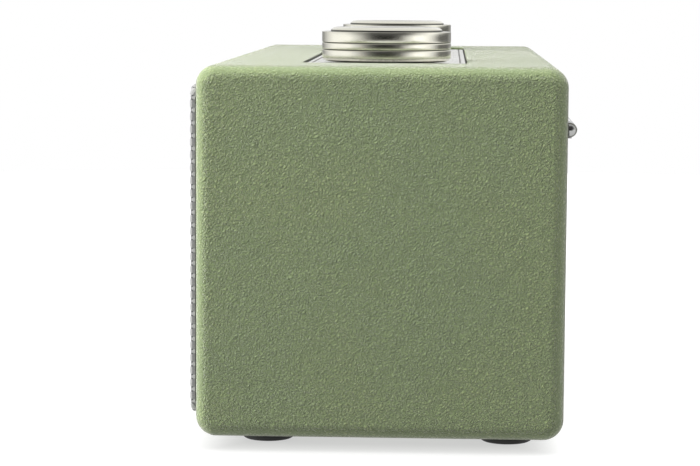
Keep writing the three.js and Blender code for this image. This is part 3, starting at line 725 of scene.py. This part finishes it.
def rounded_box(name, inset):
    """The covered box: a bar of rounded section along X, its end rims rounded over."""
    end = END_RADIUS - inset
    half = COVER_HI.x - inset
    depth = COVER_HI.y - COVER_LO.y - 2 * inset
    height = COVER_HI.z - COVER_LO.z - 2 * inset
    rim_steps = 8
    rim = []
    for k in range(rim_steps + 1):
        a = math.pi / 2 * k / rim_steps
        rim.append((half - end + end * math.sin(a), end * (1 - math.cos(a))))
    stations = [(-x, shrink) for x, shrink in reversed(rim)] + rim
    loops = []
    for x, shrink in stations:
        ring = rounded_rectangle(depth - 2 * shrink, height - 2 * shrink, EDGE_RADIUS - inset - shrink, 12)
        loops.append([(x, CABINET.y + y, CABINET.z + z) for y, z in ring])
    return loft(name, loops, 30)


def plate_shape(name, margin, low, high, edge=0.0):
    """A slab with the top plate's outline grown by a margin."""
    size = PLATE_HI - PLATE_LO
    return slab(name, size.x + 2 * margin, size.y + 2 * margin, PLATE_RADIUS + margin, low, high, edge=edge,
                centre=(0, CABINET.y))


def add_cover():
    """The leatherette: a skin over the box, open in front and behind, with a cutout for the plate."""
    cavity_x, cavity_z = COVER_HI.x - WALL, (COVER_HI.z - COVER_LO.z) / 2 - WALL
    through = block("through", (-cavity_x, COVER_LO.y - 50, CABINET.z - cavity_z),
                    (cavity_x, COVER_HI.y + 50, CABINET.z + cavity_z))
    cutout = plate_shape("cutout", GASKET_ROOM, PLATE_UNDER - GAP, COVER_HI.z + 5)
    cover = carve(rounded_box("cover", 0), rounded_box("core", SKIN), through, cutout)
    bevelled(cover, 0.5, segments=3)
    finish(cover, "leatherette", "cabinet", "leatherette_cover")


# ---- Grille ----

WEAVE = 0.3  # how far a yarn's crown stands above or below the cloth's middle
YARN_STEPS = 3.5  # mesh points from one yarn to the next
CLOTH_CORNER = 6  # radius of the cloth's corners from the front
CLOTH_EDGE = 1.1  # radius that the cloth turns over
HEM = 0.4  # along its border the weave lies flatter


def stretched_cloth():
    """The cloth, flat in front and turned over the frame's edges towards the box: its points, its quads,
    each point's place counted in yarns, and its length and height laid flat."""
    lo, hi = corners("grille_cloth")
    centre = (lo + hi) / 2
    radius = CLOTH_CORNER - CLOTH_EDGE
    half_x = (hi.x - lo.x) / 2 - CLOTH_EDGE - WEAVE
    half_z = (hi.z - lo.z) / 2 - CLOTH_EDGE - WEAVE
    front = lo.y + WEAVE
    arc = CLOTH_EDGE * math.pi / 2
    wrap = arc + (hi.y - front - CLOTH_EDGE)
    step = PITCH / YARN_STEPS
    across = int(round((half_x + wrap) / step))
    along = int(round((half_z + wrap) / step))
    s, t = np.meshgrid(np.arange(-across, across + 1) * step, np.arange(-along, along + 1) * step,
                       indexing="ij")
    # The nearest place on the flat part, and how far past it the cloth runs.
    core_x = np.clip(s, radius - half_x, half_x - radius)
    core_z = np.clip(t, radius - half_z, half_z - radius)
    out_x, out_z = s - core_x, t - core_z
    reach = np.hypot(out_x, out_z)
    past = np.clip(reach - radius, 0, wrap)
    safe = np.maximum(reach, 1e-9)
    turn = np.minimum(past / CLOTH_EDGE, math.pi / 2)
    outward = np.minimum(reach, radius) + CLOTH_EDGE * np.sin(turn)
    back = CLOTH_EDGE * (1 - np.cos(turn)) + np.maximum(past - arc, 0)
    paired = t / PITCH + PAIRING * np.sin(math.pi * t / PITCH)
    crown = WEAVE * np.cos(math.pi * s / PITCH) * np.cos(math.pi * paired)
    crown = crown * np.where(past > wrap - HEM, 0.3, 1.0)
    outward = outward + crown * np.sin(turn) * (past > 0)
    x = centre.x + core_x + out_x / safe * outward
    z = centre.z + core_z + out_z / safe * outward
    y = front + back - crown * np.cos(turn)
    points = np.stack([x, y, z], -1).reshape(-1, 3)
    rows, columns = s.shape
    index = np.arange(rows * columns).reshape(rows, columns)
    quads = np.stack([index[:-1, :-1], index[:-1, 1:], index[1:, 1:], index[1:, :-1]], -1).reshape(-1, 4)
    beyond = (reach - radius > wrap).reshape(-1)
    quads = quads[~beyond[quads].all(1)]
    yarns = np.stack([s, t], -1).reshape(-1, 2) / PITCH
    return points, quads, yarns, (2 * (half_x + wrap), 2 * (half_z + wrap))


def add_grille_cloth():
    """The woven cloth as one piece, whose UV map counts its yarns."""
    points, quads, yarns, sides = stretched_cloth()
    mesh = bpy.data.meshes.new("grille_fabric")
    mesh.from_pydata((points * MM).tolist(), [], quads.tolist())
    layer = mesh.uv_layers.new(name="yarns")
    corner = np.zeros(len(mesh.loops), np.int32)
    mesh.loops.foreach_get("vertex_index", corner)
    layer.data.foreach_set("uv", yarns[corner].astype(np.float32).ravel())
    loose = bmesh.new()
    loose.from_mesh(mesh)
    bmesh.ops.delete(loose, geom=[v for v in loose.verts if not v.link_faces], context="VERTS")
    bmesh.ops.dissolve_degenerate(loose, dist=2e-5, edges=loose.edges)
    loose.to_mesh(mesh)
    loose.free()
    mesh.shade_smooth()
    cloth = bpy.data.objects.new("grille_fabric", mesh)
    bpy.context.scene.collection.objects.link(cloth)
    finish(cloth, "grille_weave", "cabinet", "grille_cloth")


# ---- Top plate and what is in it ----

PLATE_LINE = (2, 2.6)  # the fine line's outer and inner edges, in from the plate's rim
PLATE_LINE_DEPTH = 0.45
BUTTONS = [f"preset_button_{i}" for i in range(1, 6)]
BUTTON_SIZE = (12, 6)


def add_plate():
    """The top plate: a fine groove round it, dark inside as painted shade, and holes for the display, the
    buttons and the knobs.
    """
    plate = plate_shape("plate", 0, PLATE_UNDER, PLATE_TOP, edge=0.35)
    line, inside_line = (plate_shape("groove", -inset, PLATE_TOP - PLATE_LINE_DEPTH, PLATE_TOP + 5)
                         for inset in PLATE_LINE)
    tools = [carve(line, inside_line)]
    lens_lo, lens_hi = corners("display_lens")
    tools.append(slab("window", lens_hi.x - lens_lo.x + 2 * GAP, lens_hi.y - lens_lo.y + 2 * GAP, 1.3,
                      PLATE_UNDER - 1, PLATE_TOP + 1, centre=middle("display_lens").xy))
    for name in BUTTONS:
        tools.append(slab("slot", BUTTON_SIZE[0] + 2 * GAP, BUTTON_SIZE[1] + 2 * GAP, 1.1, PLATE_UNDER - 1,
                          PLATE_TOP + 1, centre=middle(name).xy))
    for name in ("volume_control", "tuning_encoder"):
        place = middle(name)
        hole = bar("hole", 4.8, PLATE_UNDER - 1, PLATE_TOP + 1)
        tools.append(move(hole, (place.x, place.y, 0)))
    carve(plate, *tools)
    finish(plate, "satin_plate", "cabinet", "top_plate")

    def in_shaded_groove(x, y, z):
        from_rim = min(PLATE_HI.x - abs(x), (PLATE_HI.y - PLATE_LO.y) / 2 - abs(y - CABINET.y))
        return 0.1 < PLATE_TOP - z < 0.6 and from_rim > 1

    # Painted shade: the fine groove round the plate is made dark inside.
    paint_shade(plate, in_shaded_groove)
    bevelled(plate, 0.12)


def add_gasket():
    lo, hi = corners("plate_gasket")
    ring = plate_shape("gasket", GASKET_ROOM - 0.05, lo.z, hi.z, edge=0.2)
    bore = plate_shape("gasket_bore", 0.1, lo.z - 1, hi.z + 1)
    finish(carve(ring, bore), "black_rubber", "cabinet", "plate_gasket")


def add_display():
    lo, hi = corners("display_lens")
    lens = slab("lens", hi.x - lo.x, hi.y - lo.y, 1, lo.z, hi.z, edge=0.4, centre=middle("display_lens").xy)
    finish(lens, "display_glass", "cabinet", "display_lens")


def add_buttons():
    """Each button is a cap with a small dish in it, and a flange and stem under the plate."""
    for name in BUTTONS:
        lo, hi = corners(name)
        centre = middle(name).xy
        cap = slab(name.replace("preset", "plate"), *BUTTON_SIZE, 0.8, PLATE_UNDER - 0.8, hi.z, edge=0.5,
                   centre=centre)
        flange = block("flange", (centre.x - 7, centre.y - 4, PLATE_UNDER - 1.5),
                       (centre.x + 7, centre.y + 4, PLATE_UNDER - GAP))
        stem = block("stem", (centre.x - 1.5, centre.y - 1.5, lo.z),
                     (centre.x + 1.5, centre.y + 1.5, PLATE_UNDER - 1))
        dish = lathe("dish", [(0, -0.25), (2.1, 0), (2.1, 2), (0, 2)], steps=40)
        carve(cap, flange, stem, join=True)
        carve(cap, move(dish, (centre.x, centre.y, hi.z)))
        bevelled(cap, 0.08)
        finish(cap, "satin_plate", name.replace("preset_", ""), name)


# ---- Knobs ----

KNOB_RADIUS = 27.7
CAP_RADIUS = 24
# The grooves' floors get painted shade; GROOVE_SHADE_BAND holds the heights where it goes.
GROOVE = 0.15  # height of a groove's dark floor
GROOVE_HEIGHTS = (5.1, 8.1)
GROOVE_SHADE_BAND = (4, 9)  # heights that hold both grooves


def knob_outline(top, radius):
    """The skirt's section: hollow underneath, two grooves round it, and a recess for its cap."""

    def groove(height):
        return [(radius, height - 0.35), (radius - 0.3, height - 0.05), (radius - 0.7, height),
                (radius - 0.7, height + GROOVE), (radius, height + GROOVE)]

    hub, web, bore, recess = 2.3, 5.4, 9.8, top - 1.5
    outline = [
        (0, bore), (3.3, bore), (3.3, hub), (6.5, hub), (6.5, web), (radius - 3, web), (radius - 2.4, 0),
        (radius - 1.9, 0), (radius - 0.5, 0.6), (radius, 1.5),
        *groove(GROOVE_HEIGHTS[0]), *groove(GROOVE_HEIGHTS[1]),
        (radius, top - 0.05), (radius - 0.5, top), (CAP_RADIUS + GAP, top), (CAP_RADIUS + GAP, recess),
        (0, recess),
    ]
    return softened(outline, 0.12)


def cap_outline(low, high, radius):
    """The cap's section: an upright wall, a bevel, a flat rim and a very shallow dish."""
    outline = [
        (0, low), (radius, low), (radius, high - 1.2), (radius - 1.2, high - 0.3), (radius - 2.3, high),
        (radius - 3.4, high), (radius - 5, high - 0.12), (0, high - 0.3),
    ]
    return softened(outline, 0.35)


def paint_shade_ring(piece, inner, outer, low, high):
    """Painted shade: dark metal between two radii and two heights of a knob's piece."""
    paint_shade(piece, lambda x, y, z: inner < math.hypot(x, y) < outer and low < z < high)


def add_knobs():
    """Each knob is a turned skirt with grooves, and a raised cap. Painted shade darkens the grooves and
    the cap's upright wall.
    """
    for name in ("volume", "tuning"):
        lo, hi = corners(f"{name}_knob")
        centre = middle(f"{name}_knob")
        cap_lo, cap_hi = corners(f"{name}_knob_cap")
        place = (centre.x, centre.y, lo.z)
        skirt = lathe(f"{name}_knob_skirt", knob_outline(hi.z - lo.z, KNOB_RADIUS), steps=160)
        finish(move(skirt, place), "nickel", name, f"{name}_knob")
        # Painted shade in both grooves of the skirt.
        paint_shade_ring(skirt, CAP_RADIUS + 1.5, KNOB_RADIUS - 0.2, *GROOVE_SHADE_BAND)
        cap_low, cap_high = cap_lo.z - lo.z, cap_hi.z - lo.z
        cap = lathe(f"{name}_knob_face", cap_outline(cap_low, cap_high, CAP_RADIUS), steps=160)
        finish(move(cap, place), "nickel", name, f"{name}_knob_cap")
        # Painted shadow: the cap's upright wall is made dark, for the shade at its foot.
        paint_shade_ring(cap, CAP_RADIUS - 0.1, CAP_RADIUS + 1, 0, cap_high)


# ---- Rear ----

REAR_SCREWS = [f"rear_screw_{i}" for i in range(1, 5)]


def cross_recess(x, y, z):
    """Two crossed slots, to be cut from a screw's head that faces +Y."""
    long, thin, depth = 1.3, 0.42, 0.9
    level = block("recess", (x - long, y - depth, z - thin), (x + long, y + 1, z + thin))
    upright = block("recess", (x - thin, y - depth, z - long), (x + thin, y + 1, z + long))
    return level, upright


def add_rear_screws():
    for name in REAR_SCREWS:
        lo, hi = corners(name)
        centre = middle(name)
        under = hi.y - 1.4
        outline = [
            (0, lo.y), (1.1, lo.y + 0.6), (1.75, lo.y + 2.5), (1.75, under),
            (3.3, under), (3.3, under + 0.6), (2.6, hi.y - 0.15), (0, hi.y),
        ]
        screw = lathe(name.replace("rear", "rear_panel"), softened(outline, 0.25), "y", steps=48)
        move(screw, (centre.x, 0, centre.z))
        carve(screw, *cross_recess(centre.x, hi.y, centre.z))
        finish(screw, "steel", "cabinet", name)


def add_port():
    """The bass port: a tube with a flange and a flared mouth."""
    lo, hi = corners("bass_port")
    centre = middle("bass_port")
    flange = hi.y - 1.2
    outline = [
        (15, lo.y), (17, lo.y), (17, flange), (21, flange), (21, flange + 0.6), (20.2, hi.y), (18.6, hi.y),
        (16.6, hi.y - 1.2), (15.4, hi.y - 4), (15, hi.y - 8),
    ]
    port = lathe("port_flare", softened(outline, 0.5, closed=True), "y", steps=96, closed=True)
    finish(move(port, (centre.x, 0, centre.z)), "black_plastic", "cabinet", "bass_port")


def add_panel():
    """The rear panel, with a hole for each fitting and screw and an opening for the power switch."""
    panel = block("panel", PANEL_LO, PANEL_HI)
    inside, outside = PANEL_LO.y - 1, PANEL_HI.y + 1
    holes = [("bass_port", 17.3), ("antenna_mount", 7.3), ("dc_inlet", 5.8), ("aux_jack", 4.3),
             ("headphone_jack", 4.3)]
    holes += [(name, 2.05) for name in REAR_SCREWS]
    tools = []
    for name, radius in holes:
        place = middle(name)
        tools.append(move(bar("hole", radius, inside, outside, "y"), (place.x, 0, place.z)))
    switch = middle("power_switch_housing")
    tools.append(block("opening", (switch.x - 9.8, inside, switch.z - 6.7),
                       (switch.x + 9.8, outside, switch.z + 6.7)))
    carve(panel, *tools)
    bevelled(panel, 0.25)
    finish(panel, "black_plastic", "cabinet", "rear_panel")


def add_sockets():
    """Each round socket keeps its square body and gets a turned barrel with a chamfered mouth."""
    for name, radius, bore in (("dc_inlet", 5.5, 2.9), ("aux_jack", 4, 1.8), ("headphone_jack", 4, 1.8)):
        lo, hi = corners(name)
        centre = middle(name)
        mouth, face = hi.y, PANEL_LO.y - GAP
        body = block(f"{name}_body", lo, (hi.x, face, hi.z))
        outline = [(0, face - 1), (radius, face - 1), (radius, mouth), (bore + 0.9, mouth),
                   (bore, mouth - 0.8), (bore, mouth - 10), (0, mouth - 10)]
        barrel = lathe("barrel", softened(outline, 0.3), "y", steps=64)
        carve(body, move(barrel, (centre.x, 0, centre.z)), join=True)
        bevelled(body, 0.12)
        body.name = name.replace("jack", "socket").replace("inlet", "socket")
        finish(body, "black_plastic", "cabinet", name)
        contact = lathe(f"{body.name}_contact", softened(
            [(0, mouth - 9.9), (bore - 0.05, mouth - 9.9), (bore - 0.05, mouth - 2.2),
             (bore - 0.35, mouth - 2.2), (bore - 0.35, mouth - 9), (0, mouth - 9)], 0.1), "y", steps=48)
        finish(move(contact, (centre.x, 0, centre.z)), "steel", "cabinet")


# ---- Feet ----

def add_feet():
    """Four turned rubber pads, each with the head of its screw in the middle."""
    for corner in ("front_left", "front_right", "rear_left", "rear_right"):
        name = f"{corner}_foot"
        _, hi = corners(name)
        centre = middle(name)
        outline = [
            (0, 3), (4, 3), (4, 0.3), (4.6, 0), (6.4, 0), (6.8, 0.35), (7.3, 0.35), (7.7, 0), (9.6, 0),
            (10.5, 0.5), (11, 1.6), (11, 4.2), (10.7, hi.z), (0, hi.z),
        ]
        pad = lathe(f"{corner}_pad", softened(outline, 0.25), steps=96)
        finish(move(pad, (centre.x, centre.y, 0)), "black_rubber", "cabinet", name)
        head = [(0, 2.97), (3.1, 2.97), (3.1, 2.2), (2.4, 1.6), (0, 1.4)]
        screw = lathe(f"{corner}_foot_screw", softened(head, 0.25), steps=48)
        finish(move(screw, (centre.x, centre.y, 0)), "steel", "cabinet")


# ---- Antenna ----

TIP_DOME = 2.38  # height of the tip's domed button
# Past TIP_SHADE_RING the button gets a ring of painted shade.
TIP_SHADE_RING = 2.4  # radius of the button's bright middle, inside a dark ring


def add_antenna():
    """The tubes lie along X, and each draws out of the one before it."""
    lo, hi = corners("antenna_outer_tube")
    axis_y, axis_z = (lo.y + hi.y) / 2, (lo.z + hi.z) / 2
    pivot = middle("antenna_hinge_pin").x
    mouth = hi.x
    radius = (hi.z - lo.z) / 2

    def along_x(name, outline, closed=False):
        piece = lathe(name, outline, "x", steps=64, closed=closed)
        return move(piece, (0, axis_y, axis_z))

    outer = along_x("outer_tube", softened([
        (0, pivot + 5), (2.2, pivot + 5), (radius, pivot + 6.4), (radius, mouth - 0.4),
        (radius - 0.35, mouth), (2.65, mouth), (2.65, pivot + 7), (0, pivot + 7)], 0.3))
    half = 1.7  # of the lug's thickness
    lug = lathe("lug", softened([(0, -half), (3, -half), (3, half), (0, half)], 0.3), steps=48)
    move(lug, (pivot, axis_y, axis_z))
    neck = block("neck", (pivot, axis_y - 2.2, axis_z - half), (pivot + 6, axis_y + 2.2, axis_z + half))
    carve(outer, lug, neck, join=True)
    carve(outer, move(bar("bore", 1.3, -5, 5, steps=32), (pivot, axis_y, axis_z)))
    finish(outer, "antenna_chrome", "antenna_outer", "antenna_outer_tube")
    for part, bore_radius in (("middle", 1.9), ("inner", 1.2)):
        lo, hi = corners(f"antenna_{part}_tube")
        r = (hi.z - lo.z) / 2
        tube = along_x(f"{part}_tube", softened([
            (bore_radius, lo.x), (r, lo.x), (r, hi.x - 0.3), (r - 0.2, hi.x), (bore_radius, hi.x)], 0.2,
            closed=True), closed=True)
        finish(tube, "antenna_chrome", f"antenna_{part}", f"antenna_{part}_tube")
    lo, hi = corners("antenna_tip_rod")
    collar, rod = hi.x - 5.5, 0.95
    tip = along_x("tip_rod", softened([
        (0, lo.x), (rod, lo.x), (rod, collar), (radius, collar), (radius, hi.x - 2.6),
        (radius - 0.4, hi.x - 2.4), (0, hi.x - 2.4)], 0.2))
    finish(tip, "antenna_chrome", "antenna_tip", "antenna_tip_rod")
    dome = [(0, hi.x - TIP_DOME)]
    for k in range(13):
        a = math.pi / 2 * k / 12
        dome.append(((radius - 0.1) * math.cos(a), hi.x - TIP_DOME * (1 - math.sin(a))))
    button = along_x("tip_button", dome)
    finish(button, "antenna_chrome", "antenna_tip")
    button.data.materials[0] = MATERIALS["smoked_chrome"]  # under the chrome's slot
    # Painted shade: a dark ring round the button's rim.
    paint_shade(button, lambda x, y, z: math.hypot(y, z) > TIP_SHADE_RING)


add_camera()
add_floor()
Studio().build()
add_cover()
add_grille_cloth()
add_plate()
add_gasket()
add_display()
add_buttons()
add_knobs()
add_panel()
add_rear_screws()
add_port()
add_sockets()
add_feet()
add_antenna()
add_lights()

keep("fibreboard", "cabinet_carcass")
keep("black_board", "front_baffle")
keep("black_plastic", "grille_frame", "display_module", "antenna_mount", "antenna_rest", "tuning_rotor",
     "power_switch_housing", "power_switch_rocker")
keep("circuit_board", "main_board", "control_board")
keep("sink_aluminium", "heat_sink")
keep("steel", "tuner_module", "volume_control", "tuning_encoder", "volume_shaft", "tuning_shaft",
     "antenna_hinge_pin", "left_driver_basket", "right_driver_basket")
keep("antenna_chrome", "antenna_swivel")
keep("magnet_iron", "left_driver_magnet", "right_driver_magnet")
keep("black_rubber", "left_driver_surround", "right_driver_surround")
keep("cone_paper", "left_driver_cone", "right_driver_cone")
keep("coil_copper", "left_voice_coil", "right_voice_coil")

bpy.context.scene.view_settings.view_transform = "Standard"
